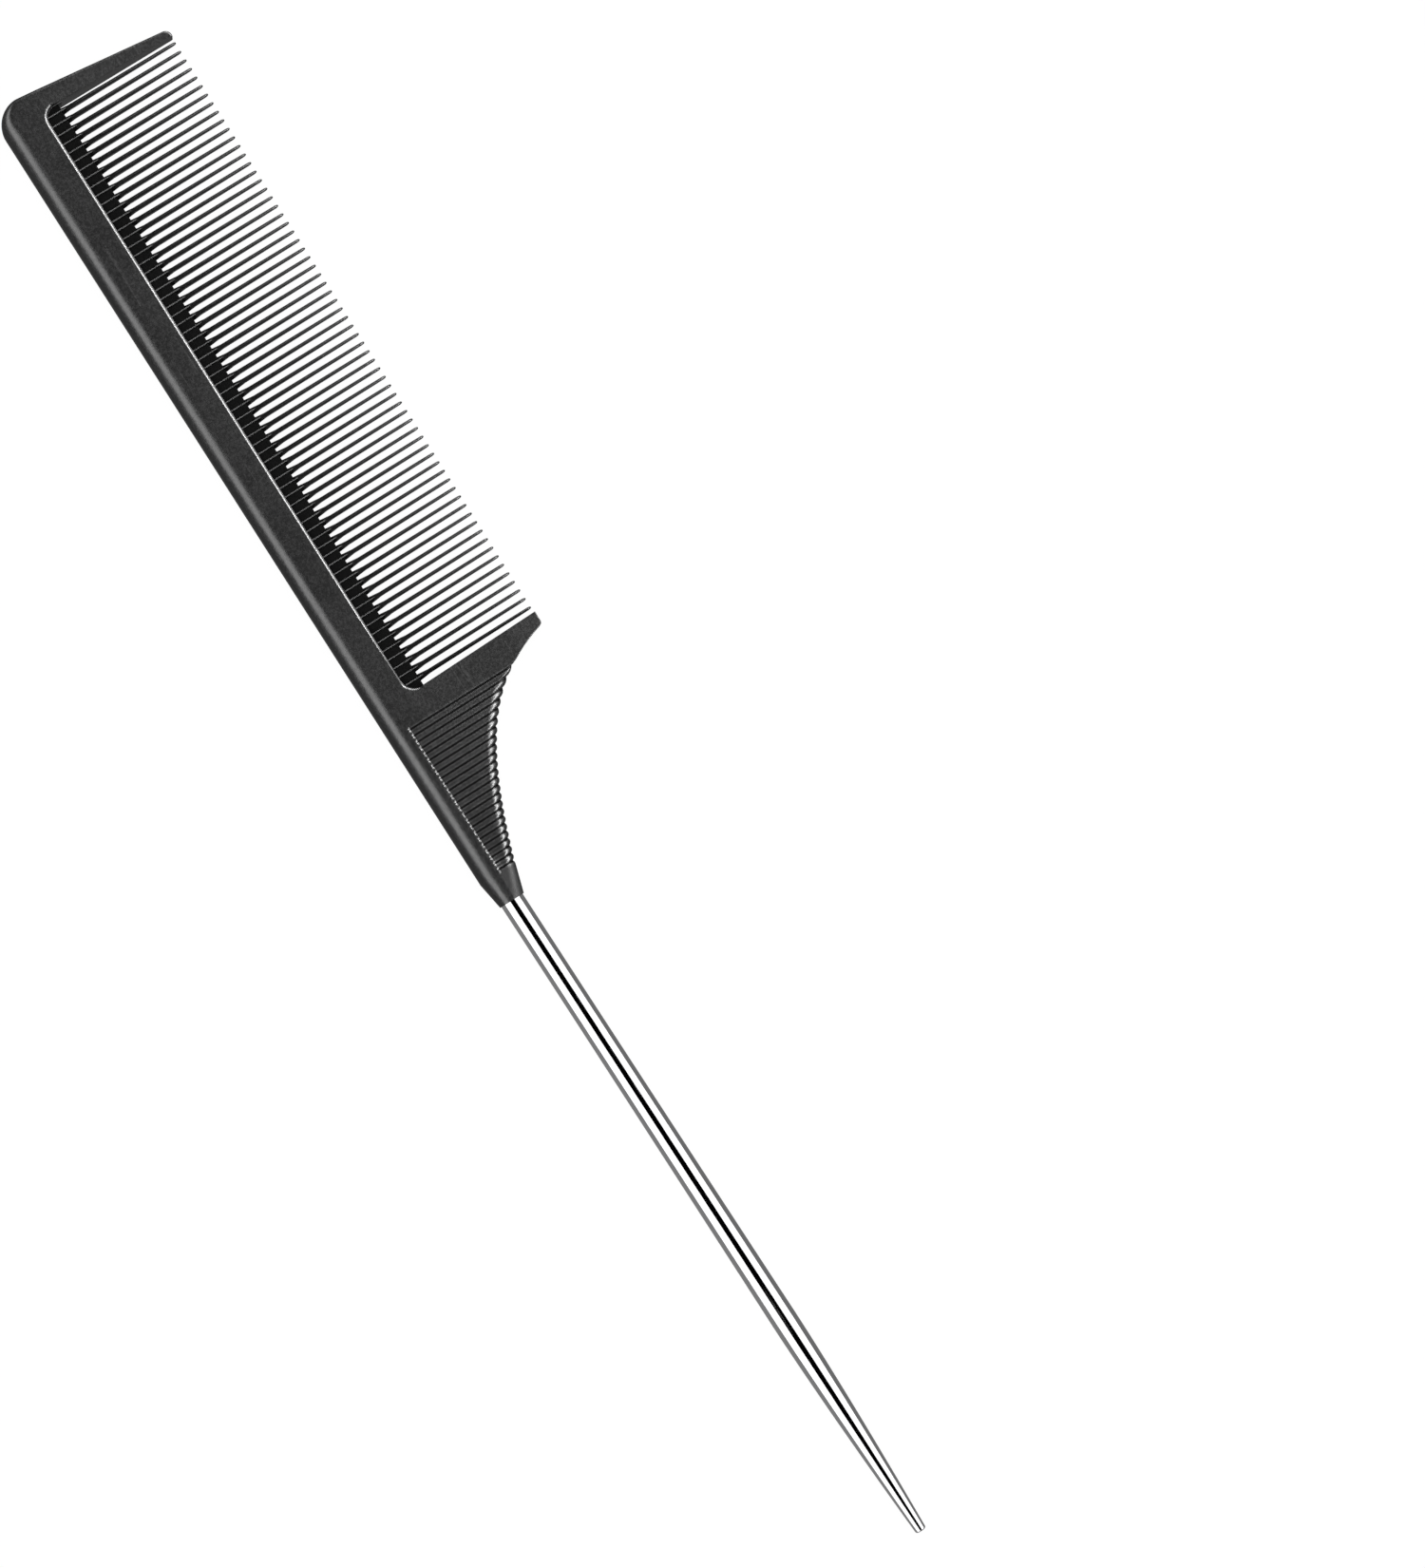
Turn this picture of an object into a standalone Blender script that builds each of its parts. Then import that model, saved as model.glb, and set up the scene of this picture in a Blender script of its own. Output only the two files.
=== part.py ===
"""A rat tail comb: one moulded comb body and the steel tail pin pressed into the end of its handle.

The comb lies flat. +X runs along the back of the comb towards the tail, +Y from the back towards the tooth
tips, +Z up, out of the broad face. The design is drawn with x = 0 at the free end, y = 0 on the back edge and
z = 0 in the middle of the thickness. One empty then carries both pieces, so that the origin is under the
middle of the object. Lengths are in metres.
"""

import math

import bmesh
import bpy
from mathutils import Vector

MM = 0.001

# Spine and guards
BODY_THICKNESS = 5.2 * MM
SPINE_WIDTH_FREE = 6.35 * MM
SPINE_WIDTH_TAIL = 5.8 * MM
WEB_WIDTH = 2.5 * MM
WEB_THICKNESS = 1.8 * MM
STEP_CHAMFER = 0.35 * MM
FREE_GUARD_WIDTH = 3.36 * MM
FREE_GUARD_LEAN = math.radians(6.0)
FREE_GUARD_DRAFT = 0.2 * MM
FREE_GUARD_TIP_RADIUS = 1.0 * MM
FREE_CORNER_RADIUS = 3.9 * MM
TAIL_GUARD_WIDTH = 1.6 * MM
TAIL_GUARD_DRAFT = 0.5 * MM
TAIL_GUARD_TIP_RADIUS = 0.55 * MM
GUARD_TIP_THICKNESS = 3.0 * MM
GUARD_TIP_ROUNDING = 0.6 * MM
RECESS_FREE_RADIUS = 2.0 * MM
RECESS_TAIL_RADIUS = 2.3 * MM

# Teeth
TOOTH_COUNT = 67
TOOTH_PITCH = 1.408 * MM
TOOTH_LENGTH = 18.55 * MM
TOOTH_ROOT_WIDTH = 0.68 * MM
TOOTH_TIP_WIDTH = 0.42 * MM
TOOTH_RIDGE_SHARE = 0.4  # width of the ridge on each face, as a share of the tooth's width
TOOTH_ROOT_THICKNESS = 2.8 * MM
TOOTH_TIP_THICKNESS = 1.1 * MM
TOOTH_POINT = 0.5 * MM  # length of the tapered end
TOOTH_POINT_SHARE = 0.55  # size of the very end, as a share of the tip section
FIRST_TOOTH_GAP = 1.05 * MM  # from the guard's inner face to the middle of the first tooth
LAST_TOOTH_GAP = 1.33 * MM

# Ribbed grip and nose
GRIP_OFFSET = 3.76 * MM  # from the tail guard's inner face to the first groove
RIB_COUNT = 24
RIB_PITCH = 0.997 * MM
RIB_DEPTH = 0.3 * MM
RIB_START_WIDTH = 3.0 * MM  # the plain strip along the back that the grooves leave
RIB_END_SLOPE = 0.25 * MM
GRIP_EDGE_ROUNDING = 1.5 * MM
GUARD_SWEEP = (3.0 * MM, -9.95 * MM)  # handles of the concave edge's curve
NOSE_SWEEP = (16.25 * MM, 5.55 * MM)
NOSE_START_WIDTH = 5.72 * MM
NOSE_LENGTH = 4.12 * MM
NOSE_LIP = 0.2 * MM  # how far the nose's end stands out round the pin
NOSE_FLAT = 0.24 * MM  # width of the flat left between the nose's two round halves

# Tail pin and its socket
TAIL_LENGTH = 104.5 * MM
TAIL_OFFSET = 2.6 * MM  # from the back edge to the pin's axis, at the nose's end
TAIL_LEAN = math.radians(0.48)
PIN_MOUTH_DIAMETER = 3.5 * MM
PIN_WAIST_DIAMETER = 3.74 * MM
PIN_WAIST_AT = 70.0 * MM
PIN_SWELL_POWER = 2.2
PIN_TIP_DIAMETER = 1.6 * MM
PIN_TIP_CHAMFER = 0.3 * MM
PIN_TAPER_POWER = 1.6
PIN_ROOT_LENGTH = 26.0 * MM
PIN_GROOVE_DEPTH = 0.3 * MM
PIN_GROOVE_WIDTH = 1.2 * MM
PIN_GROOVE_COUNT = 4
PIN_GROOVE_PITCH = 4.0 * MM
PIN_ROOT_CHAMFER = 0.5 * MM
SOCKET_CLEARANCE = 0.06 * MM
SOCKET_END_CLEARANCE = 0.5 * MM

# Fineness of the curves
BACK_STEPS = 10
EDGE_STEPS = 6
CORNER_STEPS = 8
PIN_SIDES = 24
PIN_STEPS = 12

BISECTIONS = 40  # halvings that find the point of the concave edge at a given place

OVERLAP = 0.5 * MM  # how far joined shapes run into each other
REACH = 2.0 * MM  # how far a cutter runs past the faces it cuts

# Places worked out from the sizes above
HALF = BODY_THICKNESS / 2
NOSE_RADIUS = PIN_MOUTH_DIAMETER / 2 + NOSE_LIP
FIELD_START = FREE_GUARD_WIDTH
FIRST_TOOTH = FIELD_START + FIRST_TOOTH_GAP
FIELD_END = FIRST_TOOTH + (TOOTH_COUNT - 1) * TOOTH_PITCH + LAST_TOOTH_GAP
GUARD_CORNER = FIELD_END + TAIL_GUARD_WIDTH
GRIP_START = FIELD_END + GRIP_OFFSET
NOSE_START = GRIP_START + RIB_COUNT * RIB_PITCH
NOSE_END = NOSE_START + NOSE_LENGTH


def spine_line(x):
    """Width of the spine, from the back edge to the step."""
    return SPINE_WIDTH_FREE + (SPINE_WIDTH_TAIL - SPINE_WIDTH_FREE) * x / GUARD_CORNER


def root_line(x):
    return spine_line(x) + WEB_WIDTH


def tip_line(x):
    return root_line(x) + TOOTH_LENGTH


def arc(centre, radius, start, end, steps):
    """Points of an arc in the plan, from one angle to another in degrees."""
    angles = [math.radians(start + (end - start) * i / steps) for i in range(steps + 1)]
    return [(centre[0] + radius * math.cos(a), centre[1] + radius * math.sin(a)) for a in angles]


def free_guard_tip():
    """Centre of the rounding at the free guard's tip."""
    radius = FREE_GUARD_TIP_RADIUS
    outer = (tip_line(0) - FREE_CORNER_RADIUS) * math.tan(FREE_GUARD_LEAN)
    return outer + radius, tip_line(outer + radius) - radius


def sweep_point(t):
    """A point on the concave edge between the tail guard's tip and the nose."""
    start = Vector((GUARD_CORNER, tip_line(GUARD_CORNER) - TAIL_GUARD_TIP_RADIUS))
    end = Vector((NOSE_START, NOSE_START_WIDTH))
    first = start + Vector(GUARD_SWEEP)
    second = end + Vector((-NOSE_SWEEP[0], NOSE_SWEEP[1]))
    s = 1 - t
    return s**3 * start + 3 * s * s * t * first + 3 * s * t * t * second + t**3 * end


def front_edge(x):
    """Distance from the back edge line to the tooth-side edge of the body."""
    corner_start = GUARD_CORNER - TAIL_GUARD_TIP_RADIUS
    if x <= corner_start:
        return tip_line(x)
    if x <= GUARD_CORNER:
        along = x - corner_start
        drop = TAIL_GUARD_TIP_RADIUS - math.sqrt(max(TAIL_GUARD_TIP_RADIUS**2 - along**2, 0))
        return tip_line(x) - drop
    if x >= NOSE_START:
        share = (x - NOSE_START) / NOSE_LENGTH
        return NOSE_START_WIDTH + (TAIL_OFFSET + NOSE_RADIUS - NOSE_START_WIDTH) * share
    low, high = 0.0, 1.0
    for _ in range(BISECTIONS):
        middle = (low + high) / 2
        if sweep_point(middle).x < x:
            low = middle
        else:
            high = middle
    return sweep_point(low).y


def half_thickness(x, y):
    """Half the body's thickness: full over the spine, then thinner towards the guards' tips."""
    nose = max(0.0, (x - NOSE_START) / NOSE_LENGTH)
    full = HALF + (NOSE_RADIUS - HALF) * nose
    shoulder = spine_line(0)
    share = max(0.0, y - shoulder) / (tip_line(0) - shoulder)
    return full - (HALF - GUARD_TIP_THICKNESS / 2) * share


def body_section(x, groove):
    """Closed ring of the body across X, with its tooth side cut in by the depth of a groove."""
    nose = max(0.0, (x - NOSE_START) / NOSE_LENGTH)
    back = (TAIL_OFFSET - NOSE_RADIUS) * nose
    front = front_edge(x)
    end_depth = NOSE_RADIUS - NOSE_FLAT / 2
    back_depth = HALF + (end_depth - HALF) * nose
    grip = min(max((x - GUARD_CORNER) / (GRIP_START - GUARD_CORNER), 0.0), 1.0)
    edge_depth = GUARD_TIP_ROUNDING + (GRIP_EDGE_ROUNDING - GUARD_TIP_ROUNDING) * grip
    edge_depth += (end_depth - edge_depth) * nose
    flat_start = back + back_depth
    flat_end = front - edge_depth
    quarter = (flat_end - flat_start) / 4
    rib_top = min(RIB_START_WIDTH, flat_start + quarter)
    rib_foot = min(RIB_START_WIDTH + RIB_END_SLOPE, flat_start + 2 * quarter)
    shoulder = min(spine_line(0), flat_start + 3 * quarter)

    upper = []
    for i in range(BACK_STEPS // 2 + 1):
        angle = math.pi / 2 * i / (BACK_STEPS // 2)
        height = half_thickness(x, flat_start) * math.sin(angle)
        upper.append((flat_start - back_depth * math.cos(angle), height))
    upper.append((rib_top, half_thickness(x, rib_top)))
    upper.append((rib_foot, half_thickness(x, rib_foot) - groove))
    upper.append((shoulder, half_thickness(x, shoulder) - groove))
    for i in range(EDGE_STEPS // 2 + 1):
        angle = math.pi / 2 * i / (EDGE_STEPS // 2)
        height = (half_thickness(x, flat_end) - groove) * math.cos(angle)
        upper.append((flat_end + (edge_depth - groove) * math.sin(angle), height))
    lower = [(y, -z) for y, z in reversed(upper[1:-1])]
    return [Vector((x, y, z)) for y, z in upper + lower]


def body_stations():
    """Places along the body where its section is set, each with the depth of the groove there."""
    stations = [(-REACH / 2, 0.0), (GUARD_CORNER - TAIL_GUARD_TIP_RADIUS, 0.0)]
    for i in range(1, CORNER_STEPS // 2 + 1):
        angle = math.pi / 2 * i / (CORNER_STEPS // 2)
        x = GUARD_CORNER - TAIL_GUARD_TIP_RADIUS * (1 - math.sin(angle))
        stations.append((x, 0.0))
    for i in range(1, CORNER_STEPS // 2):
        share = i / (CORNER_STEPS // 2)
        stations.append((GUARD_CORNER + (GRIP_START - GUARD_CORNER) * share, 0.0))
    for i in range(RIB_COUNT):
        stations.append((GRIP_START + i * RIB_PITCH, 0.0))
        stations.append((GRIP_START + (i + 0.5) * RIB_PITCH, RIB_DEPTH))
    stations.append((NOSE_START, 0.0))
    stations.append((NOSE_END, 0.0))
    return stations


def loft(rings):
    """Closed mesh through rings that all have the same number of points."""
    mesh = bmesh.new()
    made = [[mesh.verts.new(point) for point in ring] for ring in rings]
    count = len(rings[0])
    for near, far in zip(made, made[1:]):
        for i in range(count):
            j = (i + 1) % count
            mesh.faces.new((near[i], near[j], far[j], far[i]))
    mesh.faces.new(made[0][::-1])
    mesh.faces.new(made[-1])
    bmesh.ops.recalc_face_normals(mesh, faces=mesh.faces)
    return mesh


def add_object(name, mesh, origin):
    data = bpy.data.meshes.new(name)
    mesh.to_mesh(data)
    mesh.free()
    item = bpy.data.objects.new(name, data)
    item.parent = origin
    bpy.context.scene.collection.objects.link(item)
    return item


def add_helper(name, mesh, origin):
    """A shape that is joined to another or cut from it, and is no piece of its own."""
    item = add_object(name, mesh, origin)
    item.hide_render = True
    item.display_type = "WIRE"
    return item


def combine(target, helper, operation):
    modifier = target.modifiers.new(helper.name, "BOOLEAN")
    modifier.object = helper
    modifier.operation = operation
    modifier.solver = "EXACT"


def prism(outline, low, high):
    return loft([[Vector((x, y, z)) for x, y in outline] for z in (low, high)])


def free_end_cutter():
    """What lies outside the free end: round corner at the back, leaning edge, round tip."""
    tip_x, tip_y = free_guard_tip()
    radius = FREE_CORNER_RADIUS
    lean = math.degrees(FREE_GUARD_LEAN)
    outline = [(-REACH, -REACH), (radius, -REACH)]
    outline += arc((radius, radius), radius, 270, 180 - lean, CORNER_STEPS)
    outline += arc((tip_x, tip_y), FREE_GUARD_TIP_RADIUS, 180 - lean, 90, CORNER_STEPS)
    outline += [(tip_x, tip_y + REACH), (-REACH, tip_y + REACH)]
    return prism(outline, -BODY_THICKNESS, BODY_THICKNESS)


def window_outline(grow):
    """Plan of the opening between the guards, grown outwards all round."""
    start = FIELD_START - grow
    end = FIELD_END + grow
    top = tip_line(0) + REACH
    left = RECESS_FREE_RADIUS + grow
    right = RECESS_TAIL_RADIUS + grow
    left_centre = (FIELD_START + RECESS_FREE_RADIUS, spine_line(FIELD_START) + RECESS_FREE_RADIUS)
    right_centre = (FIELD_END - RECESS_TAIL_RADIUS, spine_line(FIELD_END) + RECESS_TAIL_RADIUS)
    outline = [(start + FREE_GUARD_DRAFT, top)]
    outline += arc(left_centre, left, 180, 270, CORNER_STEPS)
    outline += arc(right_centre, right, 270, 360, CORNER_STEPS)
    outline += [(end - TAIL_GUARD_DRAFT, top)]
    return outline


def window_cutter():
    """The opening, widened at both faces so that it leaves a chamfer along the step."""
    flare = STEP_CHAMFER + OVERLAP
    layers = [(-HALF - OVERLAP, flare), (STEP_CHAMFER - HALF, 0.0)]
    layers += [(HALF - STEP_CHAMFER, 0.0), (HALF + OVERLAP, flare)]
    return loft([[Vector((x, y, z)) for x, y in window_outline(grow)] for z, grow in layers])


def web_plate():
    start = FIELD_START - OVERLAP
    end = FIELD_END + OVERLAP
    outline = [(start, spine_line(start) - OVERLAP), (end, spine_line(end) - OVERLAP)]
    outline += [(end, root_line(end)), (start, root_line(start))]
    return prism(outline, -WEB_THICKNESS / 2, WEB_THICKNESS / 2)


def tooth_ring(x, y, width, thickness):
    """Six-sided section across a tooth: widest in the middle, with a narrow ridge on each face."""
    ridge = width * TOOTH_RIDGE_SHARE / 2
    side = width / 2
    up = thickness / 2
    corners = [(side, 0), (ridge, up), (-ridge, up), (-side, 0), (-ridge, -up), (ridge, -up)]
    return [Vector((x + across, y, z)) for across, z in corners]


def tooth_row():
    row = bmesh.new()
    share = TOOTH_POINT_SHARE
    for i in range(TOOTH_COUNT):
        x = FIRST_TOOTH + i * TOOTH_PITCH
        tip = tip_line(x)
        rings = [
            tooth_ring(x, spine_line(x) - OVERLAP, TOOTH_ROOT_WIDTH, TOOTH_ROOT_THICKNESS),
            tooth_ring(x, root_line(x) - OVERLAP, TOOTH_ROOT_WIDTH, TOOTH_ROOT_THICKNESS),
            tooth_ring(x, tip - TOOTH_POINT, TOOTH_TIP_WIDTH, TOOTH_TIP_THICKNESS),
            tooth_ring(x, tip, TOOTH_TIP_WIDTH * share, TOOTH_TIP_THICKNESS * share),
        ]
        tooth = loft(rings)
        data = bpy.data.meshes.new("tooth")
        tooth.to_mesh(data)
        tooth.free()
        row.from_mesh(data)
        bpy.data.meshes.remove(data)
    return row


def tail_radius(distance):
    """Radius of the showing part of the pin: it swells gently to its waist, then tapers to the tip."""
    mouth = PIN_MOUTH_DIAMETER / 2
    waist = PIN_WAIST_DIAMETER / 2
    tip = PIN_TIP_DIAMETER / 2
    if distance <= PIN_WAIST_AT:
        return mouth + (waist - mouth) * (distance / PIN_WAIST_AT) ** PIN_SWELL_POWER
    share = (distance - PIN_WAIST_AT) / (TAIL_LENGTH - PIN_WAIST_AT)
    return waist - (waist - tip) * share**PIN_TAPER_POWER


def pin_profile():
    """Distances along the pin from the nose's end, each with the pin's radius there."""
    root = PIN_MOUTH_DIAMETER / 2
    points = [(-PIN_ROOT_LENGTH, root - PIN_ROOT_CHAMFER)]
    points.append((PIN_ROOT_CHAMFER - PIN_ROOT_LENGTH, root))
    first = PIN_ROOT_CHAMFER + PIN_GROOVE_PITCH / 2 - PIN_ROOT_LENGTH
    for i in range(PIN_GROOVE_COUNT):
        start = first + i * PIN_GROOVE_PITCH
        points.append((start, root))
        points.append((start + PIN_GROOVE_DEPTH, root - PIN_GROOVE_DEPTH))
        points.append((start + PIN_GROOVE_WIDTH - PIN_GROOVE_DEPTH, root - PIN_GROOVE_DEPTH))
        points.append((start + PIN_GROOVE_WIDTH, root))
    for i in range(PIN_STEPS):
        distance = PIN_WAIST_AT * i / PIN_STEPS
        points.append((distance, tail_radius(distance)))
    end = TAIL_LENGTH - PIN_TIP_CHAMFER
    for i in range(PIN_STEPS + 1):
        distance = PIN_WAIST_AT + (end - PIN_WAIST_AT) * i / PIN_STEPS
        points.append((distance, tail_radius(distance)))
    points.append((TAIL_LENGTH, tail_radius(end) - PIN_TIP_CHAMFER))
    return points


def turned(profile):
    """Solid of revolution along X, with the same sides and the same turn on every round shape here."""
    rings = []
    for distance, radius in profile:
        angles = [2 * math.pi * i / PIN_SIDES for i in range(PIN_SIDES)]
        rings.append([Vector((distance, radius * math.cos(a), radius * math.sin(a))) for a in angles])
    return loft(rings)


def socket_cutter():
    radius = PIN_MOUTH_DIAMETER / 2 + SOCKET_CLEARANCE
    depth = PIN_ROOT_LENGTH + SOCKET_END_CLEARANCE
    return turned([(-depth, radius), (REACH, radius)])


def set_on_tail_axis(item):
    item.location = (NOSE_END, TAIL_OFFSET, 0)
    item.rotation_euler = (0, 0, TAIL_LEAN)


def material(name, colour, roughness, metallic):
    made = bpy.data.materials.new(name)
    made.use_nodes = True
    shader = made.node_tree.nodes["Principled BSDF"]
    shader.inputs["Base Color"].default_value = (*colour, 1)
    shader.inputs["Roughness"].default_value = roughness
    shader.inputs["Metallic"].default_value = metallic
    return made


def make_comb_body(origin):
    body = add_object("comb_body", loft([body_section(x, g) for x, g in body_stations()]), origin)
    combine(body, add_helper("free_end_cutter", free_end_cutter(), origin), "DIFFERENCE")
    combine(body, add_helper("window_cutter", window_cutter(), origin), "DIFFERENCE")
    combine(body, add_helper("web_plate", web_plate(), origin), "UNION")
    combine(body, add_helper("tooth_row", tooth_row(), origin), "UNION")
    socket = add_helper("socket_cutter", socket_cutter(), origin)
    set_on_tail_axis(socket)
    combine(body, socket, "DIFFERENCE")
    body.data.materials.append(material("grey_black_plastic", (0.035, 0.035, 0.037), 0.5, 0.0))
    return body


def make_tail_pin(origin):
    pin = add_object("tail_pin", turned(pin_profile()), origin)
    set_on_tail_axis(pin)
    pin.data.shade_smooth()
    pin.data.set_sharp_from_angle(angle=math.radians(30))
    pin.data.materials.append(material("polished_steel", (0.75, 0.75, 0.76), 0.12, 1.0))
    return pin


def make_origin():
    """An empty that puts the middle of the object's underside at the world's origin."""
    tail_end = NOSE_END + TAIL_LENGTH * math.cos(TAIL_LEAN)
    tip_top = free_guard_tip()[1] + FREE_GUARD_TIP_RADIUS
    origin = bpy.data.objects.new("comb_origin", None)
    origin.location = (-tail_end / 2, -tip_top / 2, HALF)
    bpy.context.scene.collection.objects.link(origin)
    return origin


def main():
    for item in list(bpy.data.objects):
        bpy.data.objects.remove(item)
    origin = make_origin()
    make_comb_body(origin)
    make_tail_pin(origin)


main()
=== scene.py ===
"""The looks of the rat tail comb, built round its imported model.

The comb body is one moulding: a spine with a full-round back, two guards, a thin web that carries the
teeth, a ribbed finger grip and a nose. The tail is one polished steel pin. Both are drawn from the free end
(x), the back edge (y) and the middle of the thickness (z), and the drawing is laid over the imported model's
box. Lengths are in metres.
"""

import math

import bmesh
import bpy
from mathutils import Matrix, Vector


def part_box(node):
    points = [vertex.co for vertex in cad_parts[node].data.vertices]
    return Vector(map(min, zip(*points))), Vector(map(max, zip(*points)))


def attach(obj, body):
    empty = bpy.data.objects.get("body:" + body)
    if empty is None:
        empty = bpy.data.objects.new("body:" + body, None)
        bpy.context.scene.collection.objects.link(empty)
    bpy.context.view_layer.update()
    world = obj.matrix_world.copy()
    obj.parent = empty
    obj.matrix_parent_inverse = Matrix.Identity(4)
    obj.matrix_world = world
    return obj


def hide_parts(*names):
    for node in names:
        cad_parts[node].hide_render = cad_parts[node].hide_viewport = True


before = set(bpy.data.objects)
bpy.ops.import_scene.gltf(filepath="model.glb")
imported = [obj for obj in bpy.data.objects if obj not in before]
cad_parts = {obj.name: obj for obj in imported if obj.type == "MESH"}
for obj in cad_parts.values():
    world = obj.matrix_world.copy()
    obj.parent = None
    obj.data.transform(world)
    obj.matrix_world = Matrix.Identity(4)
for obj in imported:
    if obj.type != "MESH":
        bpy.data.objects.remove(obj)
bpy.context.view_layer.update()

MM = 0.001
NEAR = 0.01 * MM
SAME_POINT = 0.001 * MM

# The drawing's origin in the frame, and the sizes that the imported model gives
BODY_LOW, BODY_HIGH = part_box("comb_body")
FREE_END = BODY_LOW.x
BACK = BODY_LOW.y
MIDDLE = (BODY_LOW.z + BODY_HIGH.z) / 2
HALF = (BODY_HIGH.z - BODY_LOW.z) / 2
NOSE_END = BODY_HIGH.x - BODY_LOW.x
TAIL_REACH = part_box("tail_pin")[1].x - BODY_HIGH.x

# Spine and guards
SPINE_WIDTH = 6.35 * MM
THINNING_START = SPINE_WIDTH + 0.6 * MM
FIELD_SLOPE = -0.0055  # the step, the gap roots and the tips come nearer the back towards the tail
WEB_WIDTH = 2.5 * MM
WEB_THICKNESS = 1.8 * MM
WEB_BEVEL = 0.3 * MM
STEP_ROUND = 0.5 * MM
FREE_GUARD_WIDTH = 3.36 * MM
FREE_GUARD_LEAN = math.radians(6.0)
FREE_GUARD_DRAFT = 0.2 * MM
FREE_GUARD_TIP = 1.0 * MM
FREE_CORNER = 3.9 * MM
TAIL_GUARD_WIDTH = 1.6 * MM
TAIL_GUARD_DRAFT = 0.5 * MM
TAIL_GUARD_TIP = 0.55 * MM
GUARD_TIP_THICKNESS = 3.0 * MM
RECESS_FREE = 2.0 * MM
RECESS_TAIL = 2.3 * MM

# Teeth
TOOTH_COUNT = 67
TOOTH_PITCH = 1.408 * MM
TOOTH_LENGTH = 18.55 * MM
FIRST_TOOTH = FREE_GUARD_WIDTH + 1.05 * MM
FIELD_END = FIRST_TOOTH + (TOOTH_COUNT - 1) * TOOTH_PITCH + 1.33 * MM

# Grip and nose
GUARD_CORNER = FIELD_END + TAIL_GUARD_WIDTH
GRIP_START = FIELD_END + 3.76 * MM
RIB_COUNT = 24
RIB_PITCH = 0.997 * MM
RIB_STATIONS = 4
RIB_DEPTH = 0.26 * MM
RIB_START_WIDTH = 3.0 * MM
RIB_START_SLOPE = 0.22 * MM
GROOVE_PROFILE = ((0.25, 0.25), (0.5, 1.0), (0.75, 0.25))  # shares of a rib's pitch, and of its depth there
NOSE_START = GRIP_START + RIB_COUNT * RIB_PITCH
NOSE_START_WIDTH = 5.72 * MM
NOSE_RADIUS = 1.95 * MM
TAIL_OFFSET = 2.6 * MM
TAIL_LEAN = math.radians(0.48)
SWEEP_START_PULL = Vector((3.0 * MM, -9.95 * MM))  # the concave edge's handle at the guard
SWEEP_END_PULL = Vector((-16.25 * MM, 5.55 * MM))  # and at the nose

# Tail
PIN_MOUTH = 1.75 * MM  # the pin's radius at the nose, at its waist and at its tip
PIN_WAIST = 1.87 * MM
PIN_TIP = 0.8 * MM
PIN_WAIST_AT = 70.0 * MM
PIN_SWELL_POWER = 2.2
PIN_TAPER_POWER = 1.6
PIN_END_ROUND = 0.3 * MM
PIN_ROOT = 26.0 * MM
PIN_ROOT_CHAMFER = 0.5 * MM
PIN_STATIONS = 60
PIN_SIDES = 64
SOCKET_CLEARANCE = 0.03 * MM

# Rounding of the moulding's outer edges
EDGE_LEVELS = 8
FREE_EDGE_ROUNDING = 0.6 * MM
FREE_TIP_ROUNDING = 0.32 * MM
TAIL_GUARD_ROUNDING = 0.12 * MM
GRIP_ROUNDING = 1.5 * MM
NOSE_CLOSING = 0.985  # share of the way that the roundings of the nose's two sides close on its axis
ROUNDING_LIMIT = 0.98  # share of the half thickness, so that a little of the wall is left
SMOOTH_UNDER = math.radians(32)

# Where painted highlights and painted shade go on the plastic, as heights from the middle of the thickness
# in millimetres
FIN_CREST_HEIGHTS = (1.2, 1.6)
LIP_HEIGHTS = (2.25, 2.565)
RIB_END_HEIGHTS = (2.3, 2.57)
RECESS_HEIGHTS = (1.7, 2.1)

# Finishes
PLASTIC_DARK = (0.014, 0.014, 0.0142, 1)
PLASTIC_LIGHT = (0.026, 0.026, 0.0262, 1)
# Painted shade: a darker base colour for the web between the step and the gap roots, and for the bottoms of
# the grip's grooves.
PLASTIC_PAINTED_SHADE = (0.01, 0.01, 0.01, 1)
# Painted highlight: a light grey laid on the fins' crests, the step's lip and the rib ends, where light
# catches them.
PLASTIC_PAINTED_HIGHLIGHT = (0.5, 0.5, 0.5, 1)
PLASTIC_GRAIN = 2.6  # cells per millimetre
PLASTIC_ROUGHNESS = (0.31, 0.38)
PLASTIC_RELIEF = 0.012 * MM
SMUDGE_ON_PLASTIC = -0.02  # what each mark adds to the roughness
SCRATCH_ON_PLASTIC = 0.05
DULLER_NOSE = 0.25
PLASTIC_SHINE = 0.5
RECESS_SHINE = 0.05
NOSE_SHINE = 0.45
STEEL_DARK = (0.74, 0.74, 0.75, 1)
STEEL_BRIGHT = (0.82, 0.82, 0.83, 1)
STEEL_GRAIN_ALONG = 0.15
STEEL_GRAIN_ACROSS = 7.0
STEEL_ROUGHNESS = (0.03, 0.07)
STEEL_RELIEF = 0.002 * MM
SMUDGE_ON_STEEL = 0.02
SCRATCH_ON_STEEL = 0.12

# Camera, which looks down at a point of the drawing from a little to one side
CAMERA_TURNS = (6.77, -0.3, 57.488)  # degrees round x, then y, then z
CAMERA_AIM = (118 * MM, 13 * MM)
CAMERA_SHIFT = (25.85 * MM, 0.125 * MM)
CAMERA_DISTANCE = 0.65
CAMERA_LENS = 107.2

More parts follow.
